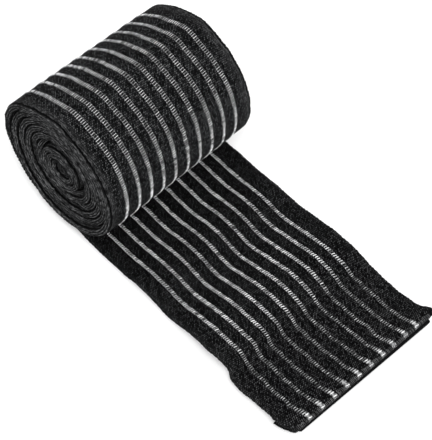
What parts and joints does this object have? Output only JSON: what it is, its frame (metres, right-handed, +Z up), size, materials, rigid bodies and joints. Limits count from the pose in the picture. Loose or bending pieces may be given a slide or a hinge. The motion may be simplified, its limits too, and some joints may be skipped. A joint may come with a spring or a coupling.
{
  "type": "rolled elastic compression wrap",
  "caption": "Woven elastic compression wrap with lengthwise stripes, loosely rolled, its free tail lying flat with a hook patch under the end.",
  "frame": {"origin": "bottom centre of the bounding box of the wrap as it lies, on the surface that it rests on", "axes": "+X along the free tail, away from the roll; Y along the axis of the roll; +Z up"},
  "size_m": [0.1748, 0.0826, 0.067],
  "materials": {
    "black_web": "matte woven",
    "grey_stripe_cord": "matte yarn",
    "hook_tape": "matte nylon hook",
    "sewing_thread": "satin thread",
    "overlock_thread": "matte thread"
  },
  "bodies": {
    "roll": {"band_roll": "black_web", "stripe_roll_01": "grey_stripe_cord", "stripe_roll_02": "grey_stripe_cord", "stripe_roll_03": "grey_stripe_cord", "stripe_roll_04": "grey_stripe_cord", "stripe_roll_05": "grey_stripe_cord", "stripe_roll_06": "grey_stripe_cord", "stripe_roll_07": "grey_stripe_cord", "stripe_roll_08": "grey_stripe_cord", "stripe_roll_09": "grey_stripe_cord", "stripe_roll_10": "grey_stripe_cord", "inner_end_overlock": "overlock_thread", "band_lead": "black_web"},
    "tail_near": {"band_tail_1": "black_web", "stripe_tail_1_01": "grey_stripe_cord", "stripe_tail_1_02": "grey_stripe_cord", "stripe_tail_1_03": "grey_stripe_cord", "stripe_tail_1_04": "grey_stripe_cord", "stripe_tail_1_05": "grey_stripe_cord", "stripe_tail_1_06": "grey_stripe_cord", "stripe_tail_1_07": "grey_stripe_cord", "stripe_tail_1_08": "grey_stripe_cord", "stripe_tail_1_09": "grey_stripe_cord", "stripe_tail_1_10": "grey_stripe_cord"},
    "tail_middle": {"band_tail_2": "black_web", "stripe_tail_2_01": "grey_stripe_cord", "stripe_tail_2_02": "grey_stripe_cord", "stripe_tail_2_03": "grey_stripe_cord", "stripe_tail_2_04": "grey_stripe_cord", "stripe_tail_2_05": "grey_stripe_cord", "stripe_tail_2_06": "grey_stripe_cord", "stripe_tail_2_07": "grey_stripe_cord", "stripe_tail_2_08": "grey_stripe_cord", "stripe_tail_2_09": "grey_stripe_cord", "stripe_tail_2_10": "grey_stripe_cord"},
    "tail_end": {"band_tail_3": "black_web", "stripe_tail_3_01": "grey_stripe_cord", "stripe_tail_3_02": "grey_stripe_cord", "stripe_tail_3_03": "grey_stripe_cord", "stripe_tail_3_04": "grey_stripe_cord", "stripe_tail_3_05": "grey_stripe_cord", "stripe_tail_3_06": "grey_stripe_cord", "stripe_tail_3_07": "grey_stripe_cord", "stripe_tail_3_08": "grey_stripe_cord", "stripe_tail_3_09": "grey_stripe_cord", "stripe_tail_3_10": "grey_stripe_cord", "hook_patch": "hook_tape", "patch_bobbin_thread": "sewing_thread", "patch_needle_thread": "sewing_thread", "end_whip_thread": "sewing_thread"}
  },
  "joints": [
    {"name": "tail_fold_near", "type": "hinge", "parent": "roll", "child": "tail_near", "pos_m": [-0.03574, 0, 0.0021], "axis": [0, -1, 0], "range_deg": [0, 50]},
    {"name": "tail_fold_middle", "type": "hinge", "parent": "tail_near", "child": "tail_middle", "pos_m": [0.00526, 0, 0.00337], "axis": [0, -1, 0], "range_deg": [0, 60]},
    {"name": "tail_fold_end", "type": "hinge", "parent": "tail_middle", "child": "tail_end", "pos_m": [0.05076, 0, 0.00509], "axis": [0, -1, 0], "range_deg": [0, 70]}
  ]
}
